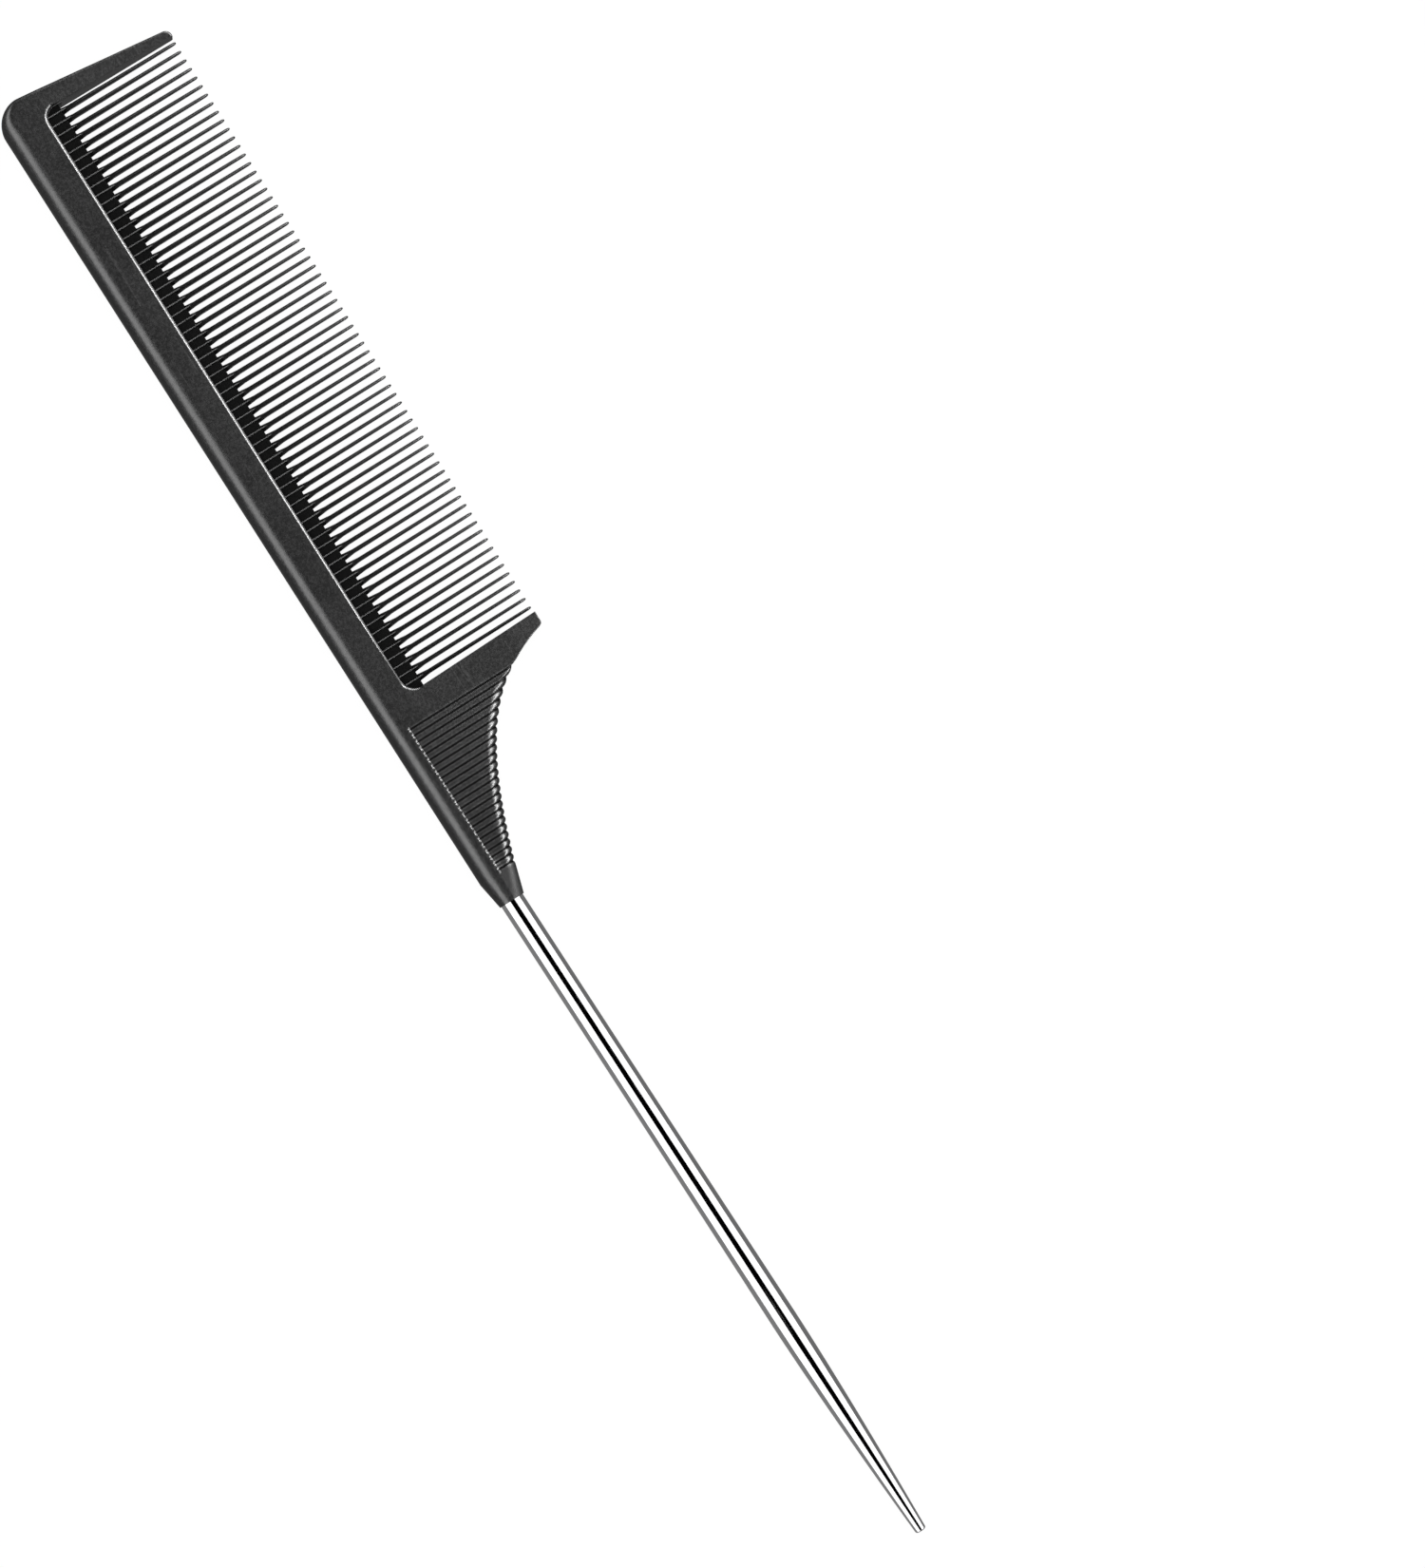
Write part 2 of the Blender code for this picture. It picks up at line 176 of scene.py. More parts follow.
# Lights
PANEL_DISTANCE = 1.2
BACK_GLOW = 0.24
TOOTH_GLOW = 0.18
BACK_LIGHT = 5.5
TOOTH_LIGHT = 1.6
TOOTH_KEY = 38.0
FREE_END_LIGHT = 0.4
TAIL_END_LIGHT = 1.2
STEEL_LIGHT = 1.5
FILL_LIGHT = 1.2
FLOOR_GLOW = 0.96


def at(x, y, z=0.0):
    """A point of the drawing, in the frame."""
    return Vector((FREE_END + x, BACK + y, MIDDLE + z))


def spine_line(x):
    return SPINE_WIDTH + FIELD_SLOPE * x


def root_line(x):
    return spine_line(x) + WEB_WIDTH


def tip_line(x):
    return root_line(x) + TOOTH_LENGTH


# ---------------------------------------------------------------- modelling by hand


def start_piece(name, add, **options):
    """Adds a primitive with nothing else selected, and opens it for editing."""
    bpy.ops.object.select_all(action="DESELECT")
    add(**options)
    piece = bpy.context.active_object
    piece.name = name
    bpy.ops.object.transform_apply(location=True, rotation=True, scale=True)
    bpy.ops.object.mode_set(mode="EDIT")
    return piece


def pick(kind, test):
    """Selects the open piece's vertices, edges or faces that pass a test."""
    bpy.ops.mesh.select_mode(type=kind)
    bpy.ops.mesh.select_all(action="DESELECT")
    mesh = bmesh.from_edit_mesh(bpy.context.edit_object.data)
    for item in {"VERT": mesh.verts, "EDGE": mesh.edges, "FACE": mesh.faces}[kind]:
        if test(item):
            item.select_set(True)
    mesh.select_flush_mode()
    bmesh.update_edit_mesh(bpy.context.edit_object.data)


def middle_of(item):
    if isinstance(item, bmesh.types.BMFace):
        return item.calc_center_median()
    return (item.verts[0].co + item.verts[1].co) / 2


def close_piece():
    bpy.ops.object.mode_set(mode="OBJECT")


def select_only(*pieces):
    bpy.ops.object.select_all(action="DESELECT")
    for piece in pieces:
        piece.select_set(True)
    bpy.context.view_layer.objects.active = pieces[0]


def apply_modifier(piece, kind, **settings):
    select_only(piece)
    modifier = piece.modifiers.new(kind.lower(), kind)
    for key, value in settings.items():
        setattr(modifier, key, value)
    bpy.ops.object.modifier_apply(modifier=modifier.name)


def combine(piece, other, operation):
    """Joins or cuts with another shape, which is then gone."""
    apply_modifier(piece, "BOOLEAN", object=other, operation=operation, solver="EXACT")
    bpy.data.objects.remove(other)


def trace(points):
    """Draws an open line through points by extruding one vertex from each to the next."""
    bpy.ops.mesh.select_mode(type="VERT")
    bpy.ops.mesh.select_all(action="SELECT")
    bpy.ops.mesh.merge(type="CENTER")
    mesh = bmesh.from_edit_mesh(bpy.context.edit_object.data)
    here = mesh.verts[:][0].co.copy()
    bpy.ops.transform.translate(value=points[0] - here)
    for last, point in zip(points, points[1:]):
        bpy.ops.mesh.extrude_region_move(TRANSFORM_OT_translate={"value": point - last})


def arc(x, y, radius, start, end, steps):
    angles = [math.radians(start + (end - start) * i / steps) for i in range(steps + 1)]
    return [(x + radius * math.cos(a), y + radius * math.sin(a)) for a in angles]


# ---------------------------------------------------------------- the moulding


def sweep_point(t):
    """A point on the concave edge from the tail guard's tip to the nose."""
    start = Vector((GUARD_CORNER, tip_line(GUARD_CORNER) - TAIL_GUARD_TIP))
    end = Vector((NOSE_START, NOSE_START_WIDTH))
    first = start + SWEEP_START_PULL
    second = end + SWEEP_END_PULL
    s = 1 - t
    return s**3 * start + 3 * s * s * t * first + 3 * s * t * t * second + t**3 * end


def front_edge(x):
    low, high = 0.0, 1.0
    for _ in range(40):
        middle = (low + high) / 2
        if sweep_point(middle).x < x:
            low = middle
        else:
            high = middle
    return sweep_point(low).y


def rib_places():
    step = RIB_PITCH / RIB_STATIONS
    return [GRIP_START + step * i for i in range(RIB_COUNT * RIB_STATIONS + 1)]


def body_outline():
    """The moulding's plan: from the nose along the back, up the free guard, and back by the grip."""
    lean = math.degrees(FREE_GUARD_LEAN)
    guard = arc(FREE_CORNER, FREE_CORNER, FREE_CORNER, 270, 180 - lean, 16)
    foot_x, foot_y = guard[-1]
    tip_y = tip_line(0) - FREE_GUARD_TIP
    rise = tip_y + FREE_GUARD_TIP * math.sin(FREE_GUARD_LEAN) - foot_y
    tip_x = foot_x + rise * math.tan(FREE_GUARD_LEAN) + FREE_GUARD_TIP * math.cos(FREE_GUARD_LEAN)
    plan = [(NOSE_END, TAIL_OFFSET - NOSE_RADIUS), (NOSE_START, 0.0)]
    plan += guard
    plan.append((foot_x + (THINNING_START - foot_y) * math.tan(FREE_GUARD_LEAN), THINNING_START))
    plan += arc(tip_x, tip_y, FREE_GUARD_TIP, 180 - lean, 90, 8)
    corner = GUARD_CORNER - TAIL_GUARD_TIP
    plan += arc(corner, tip_line(corner) - TAIL_GUARD_TIP, TAIL_GUARD_TIP, 90, 17, 6)
    plan += [tuple(sweep_point(t)) for t in (0.03, 0.07, 0.11, 0.15)]
    plan += [(x, front_edge(x)) for x in rib_places()]
    plan.append((NOSE_END, TAIL_OFFSET + NOSE_RADIUS))
    return [Vector(point) for point in plan]


def edge_rounding(place):
    """How far the rounding reaches in from the outline, at a place on it."""
    x, y = place
    nose = min(max((x - NOSE_START) / (NOSE_END - NOSE_START), 0.0), 1.0)
    if y < NEAR or (nose > 0 and y < TAIL_OFFSET):
        return HALF + (NOSE_RADIUS - HALF) * nose
    if x < FREE_CORNER and y < FREE_CORNER:
        share = math.atan2(FREE_CORNER - x, FREE_CORNER - y) / (math.pi / 2)
        return HALF + (FREE_EDGE_ROUNDING - HALF) * min(share, 1.0)
    if x < FREE_GUARD_WIDTH + MM:
        share = (y - FREE_CORNER) / (tip_line(0) - FREE_CORNER)
        return FREE_EDGE_ROUNDING + (FREE_TIP_ROUNDING - FREE_EDGE_ROUNDING) * share
    grip = min(max((x - GRIP_START) / (2 * RIB_PITCH), 0.0), 1.0)
    rounding = TAIL_GUARD_ROUNDING + (GRIP_ROUNDING - TAIL_GUARD_ROUNDING) * grip
    return rounding + (NOSE_RADIUS - rounding) * nose


def inward(before, place, after):
    """The way in from a corner of the outline, long enough to move both of its sides in by one unit."""
    if place.x > NOSE_END - NEAR:
        return Vector((0, NOSE_CLOSING if place.y < TAIL_OFFSET else -NOSE_CLOSING))
    if place.x > GRIP_START - NEAR and place.y > TAIL_OFFSET:
        along = (after - before).normalized()
        return Vector((0, -1 / abs(along.x)))
    first = (place - before).normalized()
    second = (after - place).normalized()
    along = (first + second).normalized()
    way = Vector((along.y, -along.x))
    return way / along.dot(first)


def half_thickness(y):
    """Half the thickness at a distance from the back: full over the spine, thinner towards the tips."""
    share = max(y - THINNING_START, 0.0) / (tip_line(0) - THINNING_START)
    return HALF - (HALF - GUARD_TIP_THICKNESS / 2) * share


def edge_place(before, place, after, angle):
    """Where the rounded edge is, at an angle from its wall (0) to its flat (a quarter turn)."""
    reach = edge_rounding(place)
    point = place + inward(before, place, after) * reach * (1 - math.cos(angle))
    nose = min(max((place.x - NOSE_START) / (NOSE_END - NOSE_START), 0.0), 1.0)
    top = half_thickness(point.y) + (NOSE_RADIUS - HALF) * nose
    height = min(reach, ROUNDING_LIMIT * top)
    return at(point.x, point.y, top - height * (1 - math.sin(angle)))


def raise_edge(outline):
    """Extrudes the open piece's outline up its wall and round the edge, and closes the flat."""
    bpy.ops.mesh.select_all(action="SELECT")
    for level in range(EDGE_LEVELS + 1):
        angle = math.pi / 2 * level / EDGE_LEVELS
        bpy.ops.mesh.extrude_region_move()
        mesh = bmesh.from_edit_mesh(bpy.context.edit_object.data)
        order = mesh.verts.layers.int["outline_order"]
        for vertex in mesh.verts:
            if vertex.select:
                i = vertex[order]
                around = (outline[i - 1], outline[i], outline[(i + 1) % len(outline)])
                vertex.co = edge_place(*around, angle)
        bmesh.update_edit_mesh(bpy.context.edit_object.data)
    bpy.ops.mesh.edge_face_add()


def cut_across(place, direction, clear=False):
    """Cuts the open piece along a plane. What lies ahead of the plane goes if clear is set."""
    bpy.ops.mesh.select_all(action="SELECT")
    bpy.ops.mesh.bisect(
        plane_co=place, plane_no=direction, clear_outer=clear, use_fill=clear, threshold=SAME_POINT
    )


def groove_grip():
    """Sinks the open piece's grip into a row of ribs that wrap round its tooth side."""
    step = RIB_PITCH / RIB_STATIONS
    for share, depth in GROOVE_PROFILE:

        def in_groove(vertex):
            place = vertex.co - at(0, 0)
            if not GRIP_START - 0.1 * step < place.x < NOSE_START - 0.1 * step:
                return False
            if place.y < RIB_START_WIDTH + 0.1 * MM:
                return False
            along = (place.x - GRIP_START) / RIB_PITCH % 1
            return abs(along - share) < 0.05

        pick("VERT", in_groove)
        bpy.ops.transform.shrink_fatten(value=-RIB_DEPTH * depth)


def crease_flat(outline):
    """Joins the two corners of the open piece's flat where the spine ends and the thinning starts."""
    mesh = bmesh.from_edit_mesh(bpy.context.edit_object.data)
    order = mesh.verts.layers.int["outline_order"]
    flat = max(mesh.faces, key=lambda face: len(face.verts))
    bpy.ops.mesh.select_all(action="DESELECT")
    for guard_side in (True, False):
        side = [v for v in flat.verts if (outline[v[order]].x < FREE_CORNER) == guard_side]
        side = [v for v in side if outline[v[order]].y > SPINE_WIDTH / 2]
        nearest = min(side, key=lambda v: abs(outline[v[order]].y - THINNING_START))
        nearest.select_set(True)
    bmesh.update_edit_mesh(bpy.context.edit_object.data)
    bpy.ops.mesh.vert_connect()


def make_blank():
    """The moulding before its window is cut: outline, rounded edges, thinner tooth side and ribs."""
    piece = start_piece("comb_moulding", bpy.ops.mesh.primitive_plane_add, size=MM, location=at(0, 0))
    outline = body_outline()
    trace([at(*place) for place in outline])
    pick("VERT", lambda v: len(v.link_edges) == 1)
    bpy.ops.mesh.edge_face_add()
    mesh = bmesh.from_edit_mesh(piece.data)
    order = mesh.verts.layers.int.new("outline_order")
    for vertex in mesh.verts:
        place = vertex.co - at(0, 0)
        vertex[order] = min(range(len(outline)), key=lambda i: (outline[i] - place.xy).length)
    bmesh.update_edit_mesh(piece.data)
    raise_edge(outline)
    crease_flat(outline)
    bpy.ops.mesh.select_all(action="SELECT")
    bpy.ops.mesh.duplicate()
    bpy.ops.transform.resize(value=(1, 1, -1), center_override=at(0, 0))
    bpy.ops.mesh.select_all(action="SELECT")
    bpy.ops.mesh.remove_doubles(threshold=SAME_POINT)
    bpy.ops.mesh.normals_make_consistent(inside=False)
    for x in rib_places():
        cut_across(at(x, 0), Vector((1, 0, 0)))
    for y in (RIB_START_WIDTH, RIB_START_WIDTH + RIB_START_SLOPE):

        def on_grip(face):
            place = middle_of(face) - at(0, 0)
            flat = abs(place.z) > HALF * 0.8
            return flat and GRIP_START - NEAR < place.x < NOSE_START + NEAR

        pick("FACE", on_grip)
        bpy.ops.mesh.bisect(plane_co=at(0, y), plane_no=(0, 1, 0), threshold=SAME_POINT)
    groove_grip()
    close_piece()
    piece.data.attributes.remove(piece.data.attributes["outline_order"])
    return piece


def make_window_cutter():
    """The opening between the guards, with round corners at the step and drafted sides."""
    width = FIELD_END - FREE_GUARD_WIDTH
    low, high = spine_line(width / 2), tip_line(0) + 2 * MM
    place = at(FREE_GUARD_WIDTH + width / 2, (low + high) / 2)
    size = (width, high - low, 4 * HALF)
    piece = start_piece("window", bpy.ops.mesh.primitive_cube_add, size=1, location=place, scale=size)
    step_y = at(0, low).y + NEAR
    for x, draft in ((FREE_GUARD_WIDTH, FREE_GUARD_DRAFT), (FIELD_END, -TAIL_GUARD_DRAFT)):
        here = at(x, 0).x
        pick("VERT", lambda v: abs(v.co.x - here) < MM and v.co.y < step_y)
        bpy.ops.transform.translate(value=(0, spine_line(x) - low, 0))
        pick("VERT", lambda v: abs(v.co.x - here) < MM and v.co.y > step_y + MM)
        bpy.ops.transform.translate(value=(draft, 0, 0))
    for x, radius in ((FREE_GUARD_WIDTH, RECESS_FREE), (FIELD_END, RECESS_TAIL)):
        here = at(x, 0).x

        def corner(edge):
            ends = [v.co for v in edge.verts]
            upright = abs(ends[0].z - ends[1].z) > HALF
            return upright and all(abs(e.x - here) < 0.2 * MM and e.y < step_y + MM for e in ends)

        pick("EDGE", corner)
        bpy.ops.mesh.bevel(offset=radius, segments=10, affect="EDGES")
    close_piece()
    return piece


def round_step(piece):
    """Rounds the lip of the step, from guard to guard, on both faces."""
    select_only(piece)
    bpy.ops.object.mode_set(mode="EDIT")
    left = FREE_GUARD_WIDTH - 0.1 * MM
    right = FIELD_END + 0.1 * MM
    reach = spine_line(0) + 1.9 * MM

    def on_lip(edge):
        if len(edge.link_faces) != 2:
            return False
        place = middle_of(edge) - at(0, 0)
        flats = sorted(abs(face.normal.z) for face in edge.link_faces)
        inside = left < place.x < right and SPINE_WIDTH - MM < place.y < reach
        return inside and flats[0] < 0.3 and flats[1] > 0.9

    pick("EDGE", on_lip)
    bpy.ops.mesh.bevel(offset=STEP_ROUND, segments=3, affect="EDGES", clamp_overlap=False)
    close_piece()


def make_web():
    """The thin plate between spine and gap roots, with a bevelled edge where the gaps end."""
    start = FREE_GUARD_WIDTH - 0.5 * MM
    end = FIELD_END + 0.5 * MM
    low, high = -0.5 * MM, WEB_WIDTH
    middle_x = (start + end) / 2
    place = at(middle_x, spine_line(middle_x) + (low + high) / 2)
    size = (end - start, high - low, WEB_THICKNESS)
    piece = start_piece("web", bpy.ops.mesh.primitive_cube_add, size=1, location=place, scale=size)
    bpy.ops.transform.rotate(value=-math.atan(FIELD_SLOPE), orient_axis="Z", center_override=place)

    def on_root_side(edge):
        runs_along = abs(edge.verts[0].co.x - edge.verts[1].co.x) > (end - start) / 2
        return runs_along and middle_of(edge).y > place.y + WEB_WIDTH / 2

    pick("EDGE", on_root_side)
    bpy.ops.mesh.bevel(offset=WEB_BEVEL, segments=1, affect="EDGES")
    close_piece()
    return piece


def draw_out(name, x, stages):
    """A rod along y, drawn in stages: distance from the back, half its width and half its thickness."""
    y, half_width, half_height = stages[0]
    ring = {"vertices": 12, "radius": MM, "fill_type": "NGON", "rotation": (math.pi / 2, 0, 0)}
    piece = start_piece(name, bpy.ops.mesh.primitive_circle_add, location=at(x, y), **ring)
    bpy.ops.transform.resize(value=(half_width, 1, half_height), center_override=at(x, y))
    for next_y, next_width, next_height in stages[1:]:
        bpy.ops.mesh.extrude_region_move(TRANSFORM_OT_translate={"value": (0, next_y - y, 0)})
        scale = (next_width / half_width, 1, next_height / half_height)
        bpy.ops.transform.resize(value=scale, center_override=at(x, next_y))
        y, half_width, half_height = next_y, next_width, next_height
    bpy.ops.mesh.select_all(action="SELECT")
    bpy.ops.mesh.normals_make_consistent(inside=False)
    close_piece()
    return piece


def make_tooth():
    """One tooth at the first tooth's place: a thin fin over the web, a flared root and a tapering blade."""
    x = FIRST_TOOTH
    step = spine_line(x)
    root = root_line(x)
    tip = tip_line(x)
    blade = [
        (root - 0.5 * MM, 0.30, 0.80),
        (root + 0.1 * MM, 0.34, 1.10),
        (root + 2.5 * MM, 0.32, 1.16),
        (root + 7.0 * MM, 0.285, 0.92),
        (tip - 2.0 * MM, 0.235, 0.60),
        (tip - 0.5 * MM, 0.215, 0.52),
        (tip - 0.2 * MM, 0.18, 0.44),
        (tip - 0.05 * MM, 0.11, 0.28),
        (tip, 0.04, 0.1),
    ]
    fin = [(step - 0.4 * MM, 0.15, 1.5), (root, 0.15, 1.42), (root + 3.0 * MM, 0.12, 1.14)]
    flare = [(root - 0.6 * MM, 0.62, 0.62), (root + 0.2 * MM, 0.49, 0.60), (root + 2.2 * MM, 0.27, 0.5)]
    tooth = draw_out("tooth", x, blade)
    combine(tooth, draw_out("fin", x, fin), "UNION")
    combine(tooth, draw_out("flare", x, flare), "UNION")
    return tooth


def make_teeth():
    """The whole row: one tooth copied along the field, each copy with its own mesh."""
    tooth = make_tooth()
    row = [tooth]
    for i in range(1, TOOTH_COUNT):
        copy = tooth.copy()
        copy.data = tooth.data.copy()
        bpy.context.scene.collection.objects.link(copy)
        select_only(copy)
        bpy.ops.transform.translate(value=(i * TOOTH_PITCH, i * TOOTH_PITCH * FIELD_SLOPE, 0))
        row.append(copy)
    select_only(*row)
    bpy.ops.object.transform_apply(location=True, rotation=False, scale=False)
    bpy.ops.object.join()
    return bpy.context.active_object


def make_socket():
    """The round hole that the tail sits in. Half of its cutter stands clear of the nose."""
    piece = start_piece(
        "socket",
        bpy.ops.mesh.primitive_cylinder_add,
        vertices=PIN_SIDES,
        radius=PIN_MOUTH + SOCKET_CLEARANCE,
        depth=2 * PIN_ROOT + MM,
        location=at(NOSE_END, TAIL_OFFSET),
        rotation=(0, math.pi / 2, 0),
    )
    centre = at(NOSE_END, TAIL_OFFSET)
    bpy.ops.transform.rotate(value=-TAIL_LEAN, orient_axis="Z", center_override=centre)
    close_piece()
    return piece


def make_moulding():
    moulding = make_blank()
    combine(moulding, make_window_cutter(), "DIFFERENCE")
    round_step(moulding)
    combine(moulding, make_web(), "UNION")
    combine(moulding, make_teeth(), "UNION")
    combine(moulding, make_socket(), "DIFFERENCE")
    select_only(moulding)
    bpy.ops.object.shade_smooth_by_angle(angle=SMOOTH_UNDER)
    apply_modifier(moulding, "WEIGHTED_NORMAL", keep_sharp=True)
    return moulding


# ---------------------------------------------------------------- the tail


def tail_radius(distance, length):
    if distance <= PIN_WAIST_AT:
        return PIN_MOUTH + (PIN_WAIST - PIN_MOUTH) * (distance / PIN_WAIST_AT) ** PIN_SWELL_POWER
    share = (distance - PIN_WAIST_AT) / (length - PIN_WAIST_AT)
    return PIN_WAIST - (PIN_WAIST - PIN_TIP) * share**PIN_TAPER_POWER


def make_tail():
    """The pin, turned from one line: plain root in the handle, gentle swell, long taper, rounded end."""
    length = TAIL_REACH / math.cos(TAIL_LEAN)
    straight = length - PIN_END_ROUND
    line = [(-PIN_ROOT, 0.0), (-PIN_ROOT, PIN_MOUTH - PIN_ROOT_CHAMFER)]
    line.append((PIN_ROOT_CHAMFER - PIN_ROOT, PIN_MOUTH))
    for i in range(PIN_STATIONS + 1):
        distance = straight * i / PIN_STATIONS
        line.append((distance, tail_radius(distance, length)))
    end_radius = line[-1][1] - PIN_END_ROUND
    line += arc(straight, end_radius, PIN_END_ROUND, 90, 0, 4)[1:]
    line.append((length, 0.0))
    centre = at(NOSE_END, TAIL_OFFSET)
    piece = start_piece("tail", bpy.ops.mesh.primitive_plane_add, size=MM, location=centre)
    trace([centre + Vector((x, r, 0)) for x, r in line])
    bpy.ops.mesh.select_all(action="SELECT")
    bpy.ops.mesh.spin(steps=PIN_SIDES, angle=2 * math.pi, center=centre, axis=(1, 0, 0), dupli=False)
    bpy.ops.mesh.select_all(action="SELECT")
    bpy.ops.mesh.remove_doubles(threshold=SAME_POINT)
    bpy.ops.mesh.normals_make_consistent(inside=False)
    bpy.ops.transform.rotate(value=-TAIL_LEAN, orient_axis="Z", center_override=centre)
    close_piece()
    select_only(piece)
    bpy.ops.object.shade_smooth_by_angle(angle=SMOOTH_UNDER)
    return piece


# ---------------------------------------------------------------- finishes


def add_node(tree, kind, values=(), **settings):
    """Adds a node with its settings, and sets or links its inputs by name."""
    made = tree.nodes.new(kind)
    for key, value in settings.items():
        setattr(made, key, value)
    for name, value in dict(values).items():
        if isinstance(value, bpy.types.NodeSocket):
            tree.links.new(value, made.inputs[name])
        else:
            made.inputs[name].default_value = value
    return made


def spread(tree, value, low, high, to_low=0.0, to_high=1.0):
    """A value eased from one range to another."""
    values = {"Value": value, "From Min": low, "From Max": high, "To Min": to_low, "To Max": to_high}
    return add_node(tree, "ShaderNodeMapRange", values, interpolation_type="SMOOTHSTEP").outputs[0]


def new_group(name, inputs, outputs):
    """A shader group with float outputs and one place in millimetres among its inputs."""
    tree = bpy.data.node_groups.new(name, "ShaderNodeTree")
    tree.interface.new_socket(name="Place", in_out="INPUT", socket_type="NodeSocketVector")
    for title in inputs:
        tree.interface.new_socket(name=title, in_out="INPUT", socket_type="NodeSocketFloat")
    for title in outputs:
        tree.interface.new_socket(name=title, in_out="OUTPUT", socket_type="NodeSocketFloat")
    return tree, add_node(tree, "NodeGroupInput"), add_node(tree, "NodeGroupOutput")


def make_grain_group():
    """Fine grain, as a mould or a polishing wheel leaves it: cells per millimetre along and across."""
    tree, given, out = new_group("surface_grain", ["Along", "Across"], ["Grain"])
    scale = add_node(tree, "ShaderNodeCombineXYZ", {"X": given.outputs["Along"]})
    for axis in "YZ":
        tree.links.new(given.outputs["Across"], scale.inputs[axis])
    values = {0: given.outputs["Place"], 1: scale.outputs[0]}
    place = add_node(tree, "ShaderNodeVectorMath", values, operation="MULTIPLY").outputs[0]
    values = {"Vector": place, "Scale": 1.0, "Detail": 3.0, "Roughness": 0.6}
    fine = add_node(tree, "ShaderNodeTexNoise", values)
    cells = add_node(tree, "ShaderNodeTexVoronoi", {"Vector": place, "Scale": 1.6}, feature="SMOOTH_F1")
    values = {0: fine.outputs[0], 1: cells.outputs["Distance"]}
    both = add_node(tree, "ShaderNodeMath", values, operation="MULTIPLY_ADD")
    tree.links.new(fine.outputs[0], both.inputs[2])
    tree.links.new(spread(tree, both.outputs[0], 0.35, 1.1), out.inputs["Grain"])


def make_wear_group():
    """Marks of use: soft smudges from the fingers and hairline scratches along the comb."""
    tree, given, out = new_group("handling_wear", [], ["Smudge", "Scratch"])
    place = given.outputs["Place"]
    values = {"Vector": place, "Scale": 0.11, "Detail": 2.0, "Distortion": 0.6}
    patches = add_node(tree, "ShaderNodeTexNoise", values).outputs[0]
    tree.links.new(spread(tree, patches, 0.46, 0.66), out.inputs["Smudge"])
    turned = add_node(tree, "ShaderNodeMapping", {"Vector": place, "Scale": (0.07, 2.4, 2.4)})
    turned.inputs["Rotation"].default_value = (0.0, 0.0, 0.12)
    values = {"Vector": turned.outputs[0], "Scale": 1.0, "Detail": 1.0}
    lines = spread(tree, add_node(tree, "ShaderNodeTexNoise", values).outputs[0], 0.66, 0.70)
    worn = spread(tree, patches, 0.40, 0.60)
    both = add_node(tree, "ShaderNodeMath", {0: lines, 1: worn}, operation="MULTIPLY")
    tree.links.new(both.outputs[0], out.inputs["Scratch"])


def start_material(name):
    """A new material, its tree and shader, and the place on the comb in millimetres."""
    material = bpy.data.materials.new(name)
    material.use_nodes = True
    tree = material.node_tree
    where = add_node(tree, "ShaderNodeTexCoord").outputs["Object"]
    values = {0: where, "Scale": 1 / MM}
    place = add_node(tree, "ShaderNodeVectorMath", values, operation="SCALE").outputs[0]
    return material, tree, tree.nodes["Principled BSDF"], place


def add_group(tree, name, values):
    return add_node(tree, "ShaderNodeGroup", values, node_tree=bpy.data.node_groups[name])


def grain_and_wear(tree, place, along, across):
    """The grain, smudge and scratch values at a place."""
    grain = add_group(tree, "surface_grain", {"Place": place, "Along": along, "Across": across})
    wear = add_group(tree, "handling_wear", {"Place": place})
    return grain.outputs["Grain"], wear.outputs["Smudge"], wear.outputs["Scratch"]


def vary(tree, value, low, high):
    """Goes from low to high as a value goes from none to one."""
    return spread(tree, value, 0.0, 1.0, low, high)


def blend(tree, share, first, second):
    """A colour between two, each a colour or another colour's output."""
    return add_node(tree, "ShaderNodeMix", {0: share, 6: first, 7: second}, data_type="RGBA").outputs[2]


def add_up(tree, first, second):
    return add_node(tree, "ShaderNodeMath", {0: first, 1: second}, operation="ADD").outputs[0]


def both_of(tree, first, second):
    return add_node(tree, "ShaderNodeMath", {0: first, 1: second}, operation="MULTIPLY").outputs[0]


def either_of(tree, first, second):
    return add_node(tree, "ShaderNodeMath", {0: first, 1: second}, operation="MAXIMUM").outputs[0]


def between(tree, value, low, high, soft):
    """One between two limits, eased to nothing outside them."""
    above = spread(tree, value, low - soft, low)
    return both_of(tree, above, spread(tree, value, high, high + soft, 1.0, 0.0))


def distance_from_groove(tree, x):
    """How far a place is from the bottom of the nearest groove, in ribs: none to a half."""
    values = {0: add_up(tree, x, -GRIP_START / MM), 1: RIB_PITCH / MM}
    ribs = add_node(tree, "ShaderNodeMath", values, operation="DIVIDE").outputs[0]
    values = {0: add_up(tree, ribs, 0.5), 1: 0.5}
    return add_node(tree, "ShaderNodeMath", values, operation="PINGPONG").outputs[0]


